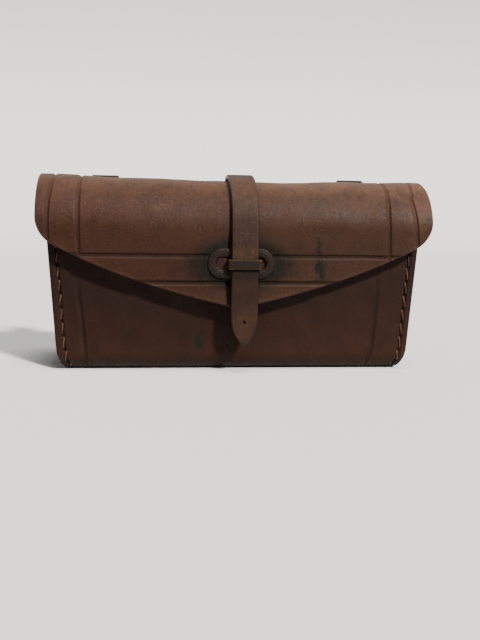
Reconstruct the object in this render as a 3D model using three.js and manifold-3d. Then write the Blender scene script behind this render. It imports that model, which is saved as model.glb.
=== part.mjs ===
// A small leather saddlebag for a motorcycle: one hide makes the front, bottom, back and flap, two
// moulded end pieces close the sides, and a strap over the flap passes under a metal staple.
// Millimetres, +X to the right, +Y to the back, +Z up, standing on its bottom.
import * as THREE from 'three';
import * as BufferGeometryUtils from 'three/addons/utils/BufferGeometryUtils.js';
import Module from 'manifold-3d';

const wasm = await Module();
wasm.setup();

// ---- Driving dimensions -------------------------------------------------------------------------

const gap = 0.3; // clearance between two pieces that lie on each other
const hide = 3; // leather of the body and flap

// body: front, bottom and back in one hide
const bodyWidth = 212; // across the two stitched ends
const bodyDepth = 44; // outside of the front to outside of the back
const mouthHeight = 88; // cut top edge of the front
const backHeight = 92; // where the back starts to roll forward
const crestHeight = 108; // top of the roll
const crestFromBack = 18; // how far forward the roll is highest
const frontFoot = 11; // outside radius of the bend from front to bottom
const backFoot = 8; // outside radius of the bend from bottom to back
const endTaper = 6.5; // each end leans in by this much from top to bottom

// flap
const flapWidth = 220; // across the ears
const flapStandOff = 6; // room between the front and the flap, where contents and staple lift it
const hangHeight = 80; // below this the flap hangs straight
const flapTip = 36.5; // lowest point of the edge
const tipSlope = 0.21; // rise of the edge beside its tip
const earSlope = 0.55; // rise of the edge where it turns up into the ear
const earRadius = 17.5; // lower corner of the ear
const earHeight = 86; // middle of that corner
const flareHeight = 51; // below this the edge turns outward
const flare = 1.4; // how far the tip turns outward

// moulded end pieces
const endLeather = 2.5;
const flangeWidth = 9; // turned-out rim that is sewn to the body
const archRise = 9; // top of the end piece above the height of the back

// seams
const seamInset = 4.8; // thread line from the cut edge
const threadWidth = 1.3;
const threadThick = 0.8;
const channelDepth = 1.3; // the sunk line that the thread lies in
const seamEnd = 1.5; // plain leather past the last stitch

// eyelet in the flap
const slotRoom = 0.6; // slot edge above and below the staple
const ringBorder = 5.2;
const ringThick = 1.3;
const barrelWall = 0.8;
const washerThick = 0.8;
const slotCentreX = 1.4;
const slotCentreZ = 61.5;

// strap
const strapWidth = 15;
const strapThick = 2.5;
const strapCentreX = 3.2;
const strapTip = 16.5; // height of the hanging tip
const strapPoint = 12; // length of the pointed end
const strapHole = 2; // punched hole near the tip
const holeAboveTip = 13;
const tailLength = 53; // straight hanging stretch
const strapFootHeight = 60; // lower end of the strap on the back
const strapBendBack = 5.4; // the bending stretch starts this far behind the crest
const overStopAngle = 168; // where the strap leaves the flap's roll, in degrees from the back

// staple
const stapleClear = 0.8; // strap edge to each leg
const stapleThick = 1.2;
const stapleHeight = 5.4;
const stapleDrop = 0.3; // the staple sits this far below the middle of the slot
const stapleFoot = 5; // clenched leg behind the plate
const plateThick = 1.2;
const plateMargin = 2.5;

// copper rivets
const rivetHead = 4;
const rivetDome = 1.6;
const rivetShank = 1.4;
const rivetPeen = 2.1;
const burrRadius = 3.8;
const burrThick = 0.9;
const strapRivetEdge = 8; // lower rivet from the foot of the strap
const strapRivetPitch = 13;

// hanger loops on the back
const loopWidth = 16;
const loopThick = 2.2;
const loopSpacing = 150; // between the middles of the two loops
const loopTop = 109.6;
const loopEye = 4; // inside radius of the rounded eye
const loopFoot = 66;
const loopJoin = 88; // below this the two plies lie together
const loopRivetEdge = 6; // lower rivet from the foot of the loop
const loopRivetPitch = 11;

const arcSteps = 8; // straight pieces in each bend
const pastTip = 1.1; // the flap is bent this share past its tip before its edge is cut
const roundSides = 16; // sides of a round piece

// ---- Sizes that follow ---------------------------------------------------------------------------

const crestY = -crestFromBack;
const flapFront = bodyDepth + flapStandOff + hide; // outside of the hanging flap from the back
const ringFace = flapFront + gap + ringThick;
const strapInside = ringFace + gap;
const strapOutside = strapInside + strapThick;
const tailTop = strapTip + tailLength;
const legInside = strapWidth / 2 + stapleClear;
const stapleZ = slotCentreZ - stapleDrop;
const loopPlies = 2 * loopThick + gap; // the folded hanger loop where it is riveted

// the slot is long enough for the corners of the staple's legs to clear its round ends
const slotHeight = stapleHeight + 2 * slotRoom;
const legCorner = stapleHeight / 2 + stapleDrop;
const slotEnd = slotHeight / 2 - Math.sqrt((slotHeight / 2) ** 2 - legCorner ** 2);
const legReach = legInside + stapleThick + Math.abs(strapCentreX - slotCentreX);
const slotLength = 2 * (legReach + slotEnd + gap);

// ---- Helpers -------------------------------------------------------------------------------------

function leather(colour) {
  return new THREE.MeshStandardMaterial({ color: colour, roughness: 0.6, metalness: 0 });
}

function metal(colour, roughness) {
  return new THREE.MeshStandardMaterial({ color: colour, roughness, metalness: 0.9 });
}

// An outline drawn as [y, z] points, run along X between two places.
function alongX(points, fromX, toX) {
  const shape = new THREE.Shape(points.map(([y, z]) => new THREE.Vector2(y, z)));
  const geometry = new THREE.ExtrudeGeometry(shape, { depth: toX - fromX, bevelEnabled: false });
  const axes = new THREE.Matrix4().makeBasis(
    new THREE.Vector3(0, 1, 0),
    new THREE.Vector3(0, 0, 1),
    new THREE.Vector3(1, 0, 0),
  );
  return geometry.applyMatrix4(axes).translate(fromX, 0, 0);
}

// A shape drawn in X and Z, run forward from one Y to another.
function alongY(shape, backY, frontY) {
  const geometry = new THREE.ExtrudeGeometry(shape, {
    depth: backY - frontY,
    bevelEnabled: false,
    curveSegments: arcSteps,
  });
  return geometry.rotateX(Math.PI / 2).translate(0, backY, 0);
}

// A closed geometry as a solid that can be joined and cut.
function solid(geometry) {
  const bare = geometry.clone();
  bare.deleteAttribute('normal');
  bare.deleteAttribute('uv');
  const merged = BufferGeometryUtils.mergeVertices(bare, 1e-4);
  const vertProperties = new Float32Array(merged.attributes.position.array);
  const triVerts = new Uint32Array(merged.index.array);
  return new wasm.Manifold(new wasm.Mesh({ numProp: 3, vertProperties, triVerts }));
}

function geometryOf(body) {
  const mesh = body.getMesh();
  const geometry = new THREE.BufferGeometry();
  geometry.setAttribute('position', new THREE.BufferAttribute(mesh.vertProperties, 3));
  geometry.setIndex(new THREE.BufferAttribute(mesh.triVerts, 1));
  return geometry;
}

function cut(geometry, ...tools) {
  return geometryOf(tools.reduce((body, tool) => body.subtract(solid(tool)), solid(geometry)));
}

function trim(geometry, outline) {
  return geometryOf(solid(geometry).intersect(solid(outline)));
}

// Points on a quarter or part of an ellipse about [y, z]; angles in degrees from +Y towards +Z.
function arc(y, z, reach, rise, from, to) {
  const points = [];
  for (let i = 0; i <= arcSteps; i += 1) {
    const angle = THREE.MathUtils.degToRad(from + ((to - from) * i) / arcSteps);
    points.push([y + reach * Math.cos(angle), z + rise * Math.sin(angle)]);
  }
  return points;
}

// A flat strip of leather bent along a line: its outer and inner faces follow two lines of as many
// points each, which run down the front, or up the back, with the outside on the left.
function bentStrip(outer, inner, fromX, toX) {
  const steps = outer.length - 1;
  const geometry = new THREE.BoxGeometry(1, 1, 1, 1, 1, steps);
  const position = geometry.attributes.position;
  for (let i = 0; i < position.count; i += 1) {
    const along = Math.round((position.getZ(i) + 0.5) * steps);
    const [y, z] = (position.getY(i) > 0 ? outer : inner)[along];
    position.setXYZ(i, position.getX(i) < 0 ? fromX : toX, y, z);
  }
  return geometry;
}

function boxAt(x, y, z, width, depth, height) {
  return new THREE.BoxGeometry(width, depth, height).translate(x, y, z);
}

// An oblong with round ends.
function oblong(x, z, length, height) {
  const radius = height / 2;
  const reach = length / 2 - radius;
  const shape = new THREE.Shape();
  shape.absarc(x + reach, z, radius, -Math.PI / 2, Math.PI / 2, false);
  shape.absarc(x - reach, z, radius, Math.PI / 2, Math.PI * 1.5, false);
  return shape;
}

function mesh(name, geometry, material) {
  const part = new THREE.Mesh(geometry, material);
  part.name = name;
  return part;
}

// ---- Lines of the hide ---------------------------------------------------------------------------

// Front, bottom and back at a depth below the outer face; a negative depth is outside it.
function wallLine(depth, frontTop, backTop) {
  return [
    [depth - bodyDepth, frontTop],
    ...arc(frontFoot - bodyDepth, frontFoot, frontFoot - depth, frontFoot - depth, 180, 270),
    ...arc(-backFoot, backFoot, backFoot - depth, backFoot - depth, 270, 360),
    [-depth, backTop],
  ];
}

// The angle at which an arc about the crest's line reaches a place behind it, in degrees.
function angleAt(behindCrest, reach) {
  return THREE.MathUtils.radToDeg(Math.acos(behindCrest / reach));
}

// The back rolling forward up to a place behind the crest.
function rollLine(depth, stopBehindCrest) {
  const reach = -crestY - depth;
  const rise = crestHeight - backHeight - depth;
  return arc(crestY, backHeight, reach, rise, 0, angleAt(stopBehindCrest, reach));
}

// From the crest forward over the flap's roll, as far as an angle past the crest.
function frontRoll(depth, behindCrest, stopAngle) {
  const reach = flapFront + crestY - depth;
  const rise = crestHeight - hangHeight - depth;
  return arc(crestY, hangHeight, reach, rise, angleAt(behindCrest, reach), stopAngle);
}

// The flap over its roll, straight down and out to its edge.
function flapLine(depth) {
  const edge = [];
  for (let i = 0; i <= arcSteps; i += 1) {
    const down = (pastTip * i) / arcSteps;
    const z = flareHeight - down * (flareHeight - flapTip);
    edge.push([depth - flapFront - flare * down * down, z]);
  }
  return [...frontRoll(depth, -gap / 2, 180), ...edge];
}

// Half the width of the stitched ends at a height: they lean in towards the foot.
function endReach(z) {
  return bodyWidth / 2 - endTaper * (1 - z / backHeight);
}

// Half the width of the hide: over the back of the roll it widens into the ears.
function hideReach(z, y) {
  if (z <= backHeight) {
    return endReach(z);
  }
  const roll = Math.atan2((z - backHeight) / (crestHeight - backHeight), (y - crestY) / -crestY);
  return bodyWidth / 2 + ((flapWidth - bodyWidth) / 2) * Math.sin(roll) ** 2;
}

// Draws the sides of a piece in or out, so that it follows the ends of the bag.
function lean(geometry, reach) {
  const position = geometry.attributes.position;
  for (let i = 0; i < position.count; i += 1) {
    const share = reach(position.getZ(i), position.getY(i)) / (bodyWidth / 2);
    position.setX(i, position.getX(i) * share);
  }
  return geometry;
}

// ---- Body ----------------------------------------------------------------------------------------

// A narrow strip along the thread line of one end, between two depths.
function seamStrip(side, width, outer, inner, frontTop, backTop) {
  const middle = side * (bodyWidth / 2 - seamInset);
  const lines = [wallLine(outer, frontTop, backTop), wallLine(inner, frontTop, backTop)];
  return lean(bentStrip(...lines, middle - width / 2, middle + width / 2), endReach);
}

function legRoom(side, y, depth) {
  const x = strapCentreX + side * (legInside + stapleThick / 2);
  return boxAt(x, y, stapleZ, stapleThick + 2 * gap, depth, stapleHeight + 2 * gap);
}

function bodyPanel() {
  const lines = [0, hide].map((depth) => [
    ...wallLine(depth, mouthHeight, backHeight),
    ...rollLine(depth, gap / 2).slice(1),
  ]);
  const panel = lean(bentStrip(...lines, -bodyWidth / 2, bodyWidth / 2), hideReach);
  const width = threadWidth + 2 * gap;
  const channels = [-1, 1].map((side) =>
    seamStrip(side, width, -1, channelDepth, mouthHeight + 1, backHeight),
  );
  const legs = [-1, 1].map((side) => legRoom(side, hide / 2 - bodyDepth, hide + 2));
  return mesh('body_panel', cut(panel, ...channels, ...legs, ...rivetHoles()), leather(0x4a2c1f));
}

// A shallow tray: the flat end and a rim turned outward along front, bottom and back.
function endPiece(side) {
  const inset = hide + gap;
  const wall = wallLine(inset, mouthHeight, backHeight);
  const backReach = crestFromBack - inset;
  const frontReach = bodyDepth - crestFromBack - inset;
  const frontRise = backHeight + archRise - mouthHeight;
  const backArch = arc(crestY, backHeight, backReach, archRise, 0, 90).slice(1);
  const frontArch = arc(crestY, mouthHeight, frontReach, frontRise, 90, 180).slice(1, -1);
  const outline = [...wall, ...backArch, ...frontArch];
  const edge = bodyWidth / 2;
  const floor = edge - flangeWidth;
  const block = alongX(outline, floor - endLeather, edge);
  const above = crestHeight;
  const recess = alongX(wallLine(inset + endLeather, above, above), floor, edge + 1);
  const tray = cut(block, recess);
  if (side < 0) {
    tray.scale(-1, 1, 1);
    tray.setIndex(Array.from(tray.index.array).reverse());
  }
  const name = side < 0 ? 'left_end' : 'right_end';
  return mesh(name, lean(tray, endReach), leather(0x44281c));
}

function endThread(side) {
  const outer = channelDepth - gap - threadThick;
  const ends = [mouthHeight - seamEnd, backHeight - seamEnd];
  const line = seamStrip(side, threadWidth, outer, outer + threadThick, ...ends);
  const name = side < 0 ? 'left_end_thread' : 'right_end_thread';
  return mesh(name, line, leather(0x9a7440));
}

// ---- Flap ----------------------------------------------------------------------------------------

// The cut outline: a blunt V between two ears with rounded lower corners.
function flapOutline() {
  const half = flapWidth / 2;
  const turn = Math.PI / 2 - Math.atan(earSlope);
  const cornerX = half - earRadius * (1 - Math.cos(turn));
  const cornerZ = earHeight - earRadius * Math.sin(turn);
  const bendX = (flapTip + earSlope * cornerX - cornerZ) / (earSlope - tipSlope);
  const bendZ = flapTip + tipSlope * bendX;
  const above = crestHeight + hide;
  const shape = new THREE.Shape();
  shape.moveTo(0, flapTip);
  shape.quadraticCurveTo(bendX, bendZ, cornerX, cornerZ);
  shape.absarc(half - earRadius, earHeight, earRadius, -turn, 0, false);
  shape.lineTo(half, above);
  shape.lineTo(-half, above);
  shape.absarc(earRadius - half, earHeight, earRadius, Math.PI, Math.PI + turn, false);
  shape.quadraticCurveTo(-bendX, bendZ, 0, flapTip);
  return shape;
}

const barrel = {
  length: slotLength + 2 * barrelWall,
  height: slotHeight + 2 * barrelWall,
};

function flap() {
  const half = flapWidth / 2 + 1;
  const slab = bentStrip(flapLine(0), flapLine(hide), -half, half);
  const shaped = trim(slab, alongY(flapOutline(), 0, -flapFront - hide));
  const room = oblong(slotCentreX, slotCentreZ, barrel.length + 2 * gap, barrel.height + 2 * gap);
  const hole = alongY(room, hide + 1 - flapFront, -flapFront - 1);
  return mesh('flap', cut(shaped, hole), leather(0x6b4331));
}

// Oblong ring on the face of the flap, with a barrel that goes back through the leather.
function eyelet() {
  const face = -flapFront - gap;
  const back = hide + gap + washerThick + gap - flapFront;
  const slot = oblong(slotCentreX, slotCentreZ, slotLength, slotHeight);
  const border = 2 * ringBorder;
  const ring = oblong(slotCentreX, slotCentreZ, slotLength + border, slotHeight + border);
  const tube = oblong(slotCentreX, slotCentreZ, barrel.length, barrel.height);
  const body = solid(alongY(ring, face, face - ringThick)).add(solid(alongY(tube, back, face - gap)));
  const open = body.subtract(solid(alongY(slot, back + 1, face - ringThick - 1)));
  return mesh('flap_eyelet', geometryOf(open), metal(0x3a2a1e, 0.6));
}

function eyeletWasher() {
  const front = hide + gap - flapFront;
  const border = 2 * ringBorder;
  const ring = oblong(slotCentreX, slotCentreZ, slotLength + border, slotHeight + border);
  const room = oblong(slotCentreX, slotCentreZ, barrel.length + 2 * gap, barrel.height + 2 * gap);
  const back = front + washerThick;
  const washer = cut(alongY(ring, back, front), alongY(room, back + 1, front - 1));
  return mesh('flap_eyelet_washer', washer, metal(0x3a2a1e, 0.6));
}

// ---- Staple --------------------------------------------------------------------------------------

// A flat strip bent into a U that stands out of the front, its ends clenched behind a plate.
function staple() {
  const inner = legInside;
  const outer = legInside + stapleThick;
  const face = -strapOutside - gap;
  const plateBack = hide + gap + plateThick - bodyDepth;
  const footFront = plateBack + gap;
  const footBack = footFront + stapleThick;
  const right = [
    [inner, face],
    [inner, footBack],
    [outer + stapleFoot, footBack],
    [outer + stapleFoot, footFront],
    [outer, footFront],
    [outer, face - stapleThick / 2],
    [outer - stapleThick / 2, face - stapleThick],
  ];
  const left = right.map(([x, y]) => [-x, y]).reverse();
  const corners = [...left, ...right].map(([x, y]) => new THREE.Vector2(strapCentreX + x, y));
  const geometry = new THREE.ExtrudeGeometry(new THREE.Shape(corners.reverse()), {
    depth: stapleHeight,
    bevelEnabled: false,
  });
  geometry.translate(0, 0, stapleZ - stapleHeight / 2);
  return mesh('closure_staple', geometry, metal(0x4a3626, 0.5));
}

function backingPlate() {
  const y = hide + gap + plateThick / 2 - bodyDepth;
  const width = 2 * (legInside + stapleThick + stapleFoot + plateMargin);
  const height = stapleHeight + 4 * plateMargin;
  const plate = boxAt(strapCentreX, y, stapleZ, width, plateThick, height);
  const legs = [-1, 1].map((side) => legRoom(side, y, plateThick + 2));
  return mesh('staple_backing_plate', cut(plate, ...legs), metal(0x6a5a40, 0.5));
}

// ---- Strap ---------------------------------------------------------------------------------------

const strapSides = [strapCentreX - strapWidth / 2, strapCentreX + strapWidth / 2];

// A strip with a rounded or pointed lower end, as an outline in X and Z.
function strapEnd(lowest, pointLength, above) {
  const half = strapWidth / 2;
  const blunt = half / 4;
  const shape = new THREE.Shape();
  shape.moveTo(strapCentreX - blunt, lowest);
  shape.lineTo(strapCentreX + blunt, lowest);
  shape.quadraticCurveTo(
    strapCentreX + half,
    lowest + pointLength / 2,
    strapCentreX + half,
    lowest + pointLength,
  );
  shape.lineTo(strapCentreX + half, above);
  shape.lineTo(strapCentreX - half, above);
  shape.lineTo(strapCentreX - half, lowest + pointLength);
  shape.quadraticCurveTo(
    strapCentreX - half,
    lowest + pointLength / 2,
    strapCentreX - blunt,
    lowest,
  );
  return shape;
}

// Riveted to the back and lying over the back half of the roll.
function strapRoot() {
  const lines = [-gap - strapThick, -gap].map((depth) => [
    [-depth, strapFootHeight],
    ...rollLine(depth, strapBendBack + gap),
  ]);
  const strip = bentStrip(...lines, ...strapSides);
  const outline = alongY(strapEnd(strapFootHeight, strapWidth / 2, crestHeight * 2), bodyDepth, -bodyDepth);
  const holes = strapRivetHeights.map((z) => rivetHole(strapCentreX, z));
  return mesh('strap_root', cut(trim(strip, outline), ...holes), leather(0x5a3b2a));
}

// The stretch that bends with the flap: over the crest and down to the staple.
function strapOver() {
  const lines = [-gap - strapThick, -gap].map((depth) => [
    ...rollLine(depth, strapBendBack).slice(-1),
    ...frontRoll(depth, 0, overStopAngle),
    [gap + depth - strapInside, tailTop + gap],
  ]);
  return mesh('strap_over', bentStrip(...lines, ...strapSides), leather(0x5d3f2e));
}

// The hanging end under the staple, with its point and punched hole.
function strapTail() {
  const tail = alongY(strapEnd(strapTip, strapPoint, tailTop), -strapInside, -strapOutside);
  const hole = new THREE.CylinderGeometry(strapHole / 2, strapHole / 2, strapThick + 2, roundSides);
  hole.translate(strapCentreX, -strapInside - strapThick / 2, strapTip + holeAboveTip);
  return mesh('strap_tail', cut(tail, hole), leather(0x5a3b2a));
}

// ---- Rivets --------------------------------------------------------------------------------------

const strapRivetHeights = [
  strapFootHeight + strapRivetEdge,
  strapFootHeight + strapRivetEdge + strapRivetPitch,
];
const loopRivetHeights = [
  loopFoot + loopRivetEdge,
  loopFoot + loopRivetEdge + loopRivetPitch,
];

function rivetHole(x, z) {
  const radius = rivetShank + gap;
  const length = 4 * hide + 2 * strapThick;
  return new THREE.CylinderGeometry(radius, radius, length, roundSides).translate(x, 0, z);
}

function rivetHoles() {
  const strap = strapRivetHeights.map((z) => rivetHole(strapCentreX, z));
  const loops = [-1, 1].flatMap((side) =>
    loopRivetHeights.map((z) => rivetHole((side * loopSpacing) / 2, z)),
  );
  return [...strap, ...loops];
}

// Domed head outside, shank through both leathers, peened end inside the burr.
function rivet(name, x, z, leatherThick) {
  const under = 2 * gap + leatherThick;
  const burrFace = -hide - 2 * gap - burrThick;
  const peen = burrFace - rivetShank / 2;
  const profile = [
    [0, peen],
    [rivetPeen, peen + rivetShank / 4],
    [rivetPeen, burrFace],
    [rivetShank, burrFace],
    [rivetShank, under],
    [rivetHead, under],
    [rivetHead * 0.92, under + rivetDome * 0.5],
    [rivetHead * 0.6, under + rivetDome * 0.88],
    [0, under + rivetDome],
  ].map(([radius, y]) => new THREE.Vector2(radius, y));
  const body = new THREE.LatheGeometry(profile, roundSides).translate(x, 0, z);
  return mesh(name, body, metal(0x6e4a30, 0.45));
}

function burr(name, x, z) {
  const front = -hide - gap;
  const hole = rivetShank + gap;
  const profile = [
    [hole, front - burrThick],
    [burrRadius, front - burrThick],
    [burrRadius, front],
    [hole, front],
    [hole, front - burrThick],
  ].map(([radius, y]) => new THREE.Vector2(radius, y));
  const body = new THREE.LatheGeometry(profile, roundSides).translate(x, 0, z);
  return mesh(name, body, metal(0x6e4a30, 0.5));
}

function rivetPairs() {
  const parts = [];
  const rows = [['strap', strapCentreX, strapRivetHeights, strapThick]];
  rows.push(['left_loop', -loopSpacing / 2, loopRivetHeights, loopPlies]);
  rows.push(['right_loop', loopSpacing / 2, loopRivetHeights, loopPlies]);
  for (const [owner, x, heights, thick] of rows) {
    ['lower', 'upper'].forEach((place, i) => {
      parts.push(rivet(`${owner}_rivet_${place}`, x, heights[i], thick));
      parts.push(burr(`${owner}_burr_${place}`, x, heights[i]));
    });
  }
  return parts;
}

// ---- Hanger loops --------------------------------------------------------------------------------

// A strip folded into a round eye that stands up behind the roll, its two ends riveted together to
// the back.
function mountLoop(side) {
  const outerRadius = loopEye + loopThick;
  const eyeY = gap + outerRadius;
  const eyeZ = loopTop - outerRadius;
  const ply = gap + loopThick;
  const inside = [
    [ply, loopFoot],
    [ply, loopJoin],
    ...arc(eyeY, eyeZ, loopEye, loopEye, 180, 0),
    [ply + gap, loopJoin],
    [ply + gap, loopFoot],
  ];
  const outside = [
    [gap, loopFoot],
    [gap, loopJoin],
    ...arc(eyeY, eyeZ, outerRadius, outerRadius, 180, 0),
    [gap + loopPlies, loopJoin],
    [gap + loopPlies, loopFoot],
  ];
  const x = (side * loopSpacing) / 2;
  const strip = bentStrip(inside, outside, x - loopWidth / 2, x + loopWidth / 2);
  const holes = loopRivetHeights.map((z) => rivetHole(x, z));
  const name = side < 0 ? 'left_mount_loop' : 'right_mount_loop';
  return mesh(name, cut(strip, ...holes), leather(0x4f3223));
}

// ---- Assembly ------------------------------------------------------------------------------------

const bag = new THREE.Group();
bag.add(bodyPanel());
for (const side of [-1, 1]) {
  bag.add(endPiece(side), endThread(side), mountLoop(side));
}
bag.add(flap(), eyelet(), eyeletWasher());
bag.add(staple(), backingPlate());
bag.add(strapRoot(), strapOver(), strapTail());
bag.add(...rivetPairs());

// the origin is the middle of the footprint, on the ground
const extent = new THREE.Box3().setFromObject(bag);
const middle = extent.getCenter(new THREE.Vector3());
bag.position.set(-middle.x, -middle.y, -extent.min.z);

export default bag;
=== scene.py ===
"""A small leather saddlebag for a motorcycle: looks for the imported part, in the same frame."""

import math

import bmesh
import bpy
import numpy as np
from mathutils import Matrix, Vector


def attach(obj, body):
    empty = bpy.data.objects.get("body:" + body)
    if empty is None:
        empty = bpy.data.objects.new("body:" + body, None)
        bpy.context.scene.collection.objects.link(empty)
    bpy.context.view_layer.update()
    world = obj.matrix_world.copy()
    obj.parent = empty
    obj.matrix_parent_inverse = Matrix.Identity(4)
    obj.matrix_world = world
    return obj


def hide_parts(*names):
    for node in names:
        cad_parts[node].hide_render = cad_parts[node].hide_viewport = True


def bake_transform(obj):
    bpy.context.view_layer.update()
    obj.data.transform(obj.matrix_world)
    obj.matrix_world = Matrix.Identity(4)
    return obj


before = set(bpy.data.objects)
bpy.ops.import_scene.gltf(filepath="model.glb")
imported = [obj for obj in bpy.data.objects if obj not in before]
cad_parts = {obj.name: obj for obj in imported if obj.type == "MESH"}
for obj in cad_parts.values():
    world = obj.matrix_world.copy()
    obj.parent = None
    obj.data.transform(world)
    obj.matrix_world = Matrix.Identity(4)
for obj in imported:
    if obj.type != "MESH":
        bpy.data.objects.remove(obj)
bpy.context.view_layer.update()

# ---- The hide: section lines ----------------------------------------------------------------------
# One hide makes front, bottom, back and flap. Its section is drawn in millimetres, back at y 0 and
# the front towards -y, and is moved into the frame when a mesh is made.

MM = 0.001
BACK = 23.1  # the back's outer face, from the middle of the frame
HIDE = 3.0
DEPTH = 44.0
MOUTH, BACK_TOP, CREST = 88.0, 92.0, 108.0
CREST_Y = -18.0
HANG = 80.0
FLAP_FRONT = -53.0
HALF_BODY, HALF_FLAP = 106.0, 110.0
TAPER = 6.5
EDGE = 0.6  # how far a cut edge is rounded


def bend(y, z, reach, rise, start, stop):
    angles = np.radians(np.linspace(start, stop, 120))
    return np.column_stack([y + reach * np.cos(angles), z + rise * np.sin(angles)])


def straight(y0, z0, y1, z1):
    share = np.linspace(0, 1, 200)[:, None]
    return np.array([[y0, z0]]) * (1 - share) + np.array([[y1, z1]]) * share


class Line:
    """A section line with its arc length and outward normals."""

    def __init__(self, *runs):
        points = np.vstack(runs)
        keep = np.r_[True, np.linalg.norm(np.diff(points, axis=0), axis=1) > 1e-6]
        self.points = points[keep]
        steps = np.linalg.norm(np.diff(self.points, axis=0), axis=1)
        self.s = np.r_[0, np.cumsum(steps)]
        t = np.gradient(self.points, self.s, axis=0)
        t /= np.linalg.norm(t, axis=1)[:, None]
        self.normals = np.column_stack([t[:, 1], -t[:, 0]])
        self.length = self.s[-1]

    def at(self, s):
        y, z = (np.interp(s, self.s, self.points[:, k]) for k in (0, 1))
        ny, nz = (np.interp(s, self.s, self.normals[:, k]) for k in (0, 1))
        size = np.sqrt(ny * ny + nz * nz)
        return y, z, ny / size, nz / size


flare_z = np.linspace(51, 34, 120)
front_line = Line(
    straight(-DEPTH, MOUTH - EDGE, -DEPTH, 11),
    bend(-33, 11, 11, 11, 180, 270),
    straight(-33, 0, -8, 0),
)
back_line = Line(
    bend(-8, 8, 8, 8, 270, 360),
    straight(0, 8, 0, BACK_TOP),
    bend(CREST_Y, BACK_TOP, -CREST_Y, CREST - BACK_TOP, 0, 90),
)
flap_line = Line(
    bend(CREST_Y, HANG, CREST_Y - FLAP_FRONT, CREST - HANG, 90, 180),
    straight(FLAP_FRONT, HANG, FLAP_FRONT, 51),
    np.column_stack([FLAP_FRONT - 1.4 * ((51 - flare_z) / 14.5) ** 2, flare_z]),
)


def ease(low, high, value):
    t = np.clip((value - low) / (high - low), 0, 1)
    return t * t * (3 - 2 * t)


def half_width(y, z):
    """Half the width of the stitched ends: leaning in to the foot, drawn in round the lower edge."""
    lean = HALF_BODY - TAPER * (1 - np.minimum(z, BACK_TOP) / BACK_TOP)
    roll = np.arctan2((z - BACK_TOP) / (CREST - BACK_TOP), np.maximum(y - CREST_Y, 1e-6) / -CREST_Y)
    ears = (HALF_FLAP - HALF_BODY) * np.sin(np.clip(roll, 0, np.pi / 2)) ** 2
    tuck = 3.4 * np.clip(1 - z / 13, 0, 1) ** 2 * (1 - ease(-30, -12, y))
    return lean + np.where(z > BACK_TOP, ears, 0) - tuck


def ripple(a, b, size, seed):
    """Slow unevenness between about -1 and 1 over two coordinates."""
    rng = np.random.default_rng(seed)
    total = np.zeros(np.broadcast(a, b).shape)
    for _ in range(7):
        angle, phase = rng.uniform(0, 2 * np.pi, 2)
        wave = rng.uniform(0.6, 1.7) * 2 * np.pi / size
        total = total + np.sin(wave * (a * np.cos(angle) + b * np.sin(angle)) + phase)
    return total / 4.5


def spaced(low, high, count, weight):
    """Places from low to high, closer together where the weight is large."""
    fine = np.linspace(low, high, 3000)
    load = np.r_[0, np.cumsum((weight(fine[1:]) + weight(fine[:-1])) / 2 * np.diff(fine))]
    return np.interp(np.linspace(0, load[-1], count), load, fine)


def near(value, centre, width):
    return np.exp(-(((value - centre) / width) ** 2))


def pressed(distance, half, depth):
    """A line pressed with a rounded tool, with a slight lip on both sides."""
    lip = 0.14 * depth * near(np.abs(distance), half * 1.7, half * 0.45)
    return lip - depth * np.exp(-((distance / half) ** 6))


# ---- The hide: meshes -----------------------------------------------------------------------------
# A hide piece is a closed shell: an outer face with the pressed lines in it, a flesh side 3 mm
# below, and burnished round edges where the leather was cut.


def to_frame(points):
    moved = np.asarray(points, float).reshape(-1, 3) + np.array([0, BACK, 0])
    return moved * MM


def build(name, points, faces, materials, masks=None, face_slots=None):
    mesh = bpy.data.meshes.new(name)
    mesh.from_pydata(to_frame(points).tolist(), [], [list(map(int, f)) for f in faces])
    for material in materials:
        mesh.materials.append(material)
    if face_slots is not None:
        mesh.polygons.foreach_set("material_index", np.asarray(face_slots, np.int32))
    mesh.polygons.foreach_set("use_smooth", np.ones(len(mesh.polygons), bool))
    for key, values in (masks or {}).items():
        layer = mesh.attributes.new(key, "FLOAT", "POINT")
        layer.data.foreach_set("value", np.asarray(values, np.float32).ravel())
    mesh.update()
    shaped = bmesh.new()
    shaped.from_mesh(mesh)
    bmesh.ops.recalc_face_normals(shaped, faces=shaped.faces)
    shaped.to_mesh(mesh)
    shaped.free()
    obj = bpy.data.objects.new(name, mesh)
    bpy.context.scene.collection.objects.link(obj)
    return obj


def quads(rows, cols, offset=0):
    a = offset + np.arange(rows - 1)[:, None] * cols + np.arange(cols - 1)[None, :]
    return np.stack([a, a + cols, a + cols + 1, a + 1], -1).reshape(-1, 4)


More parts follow.
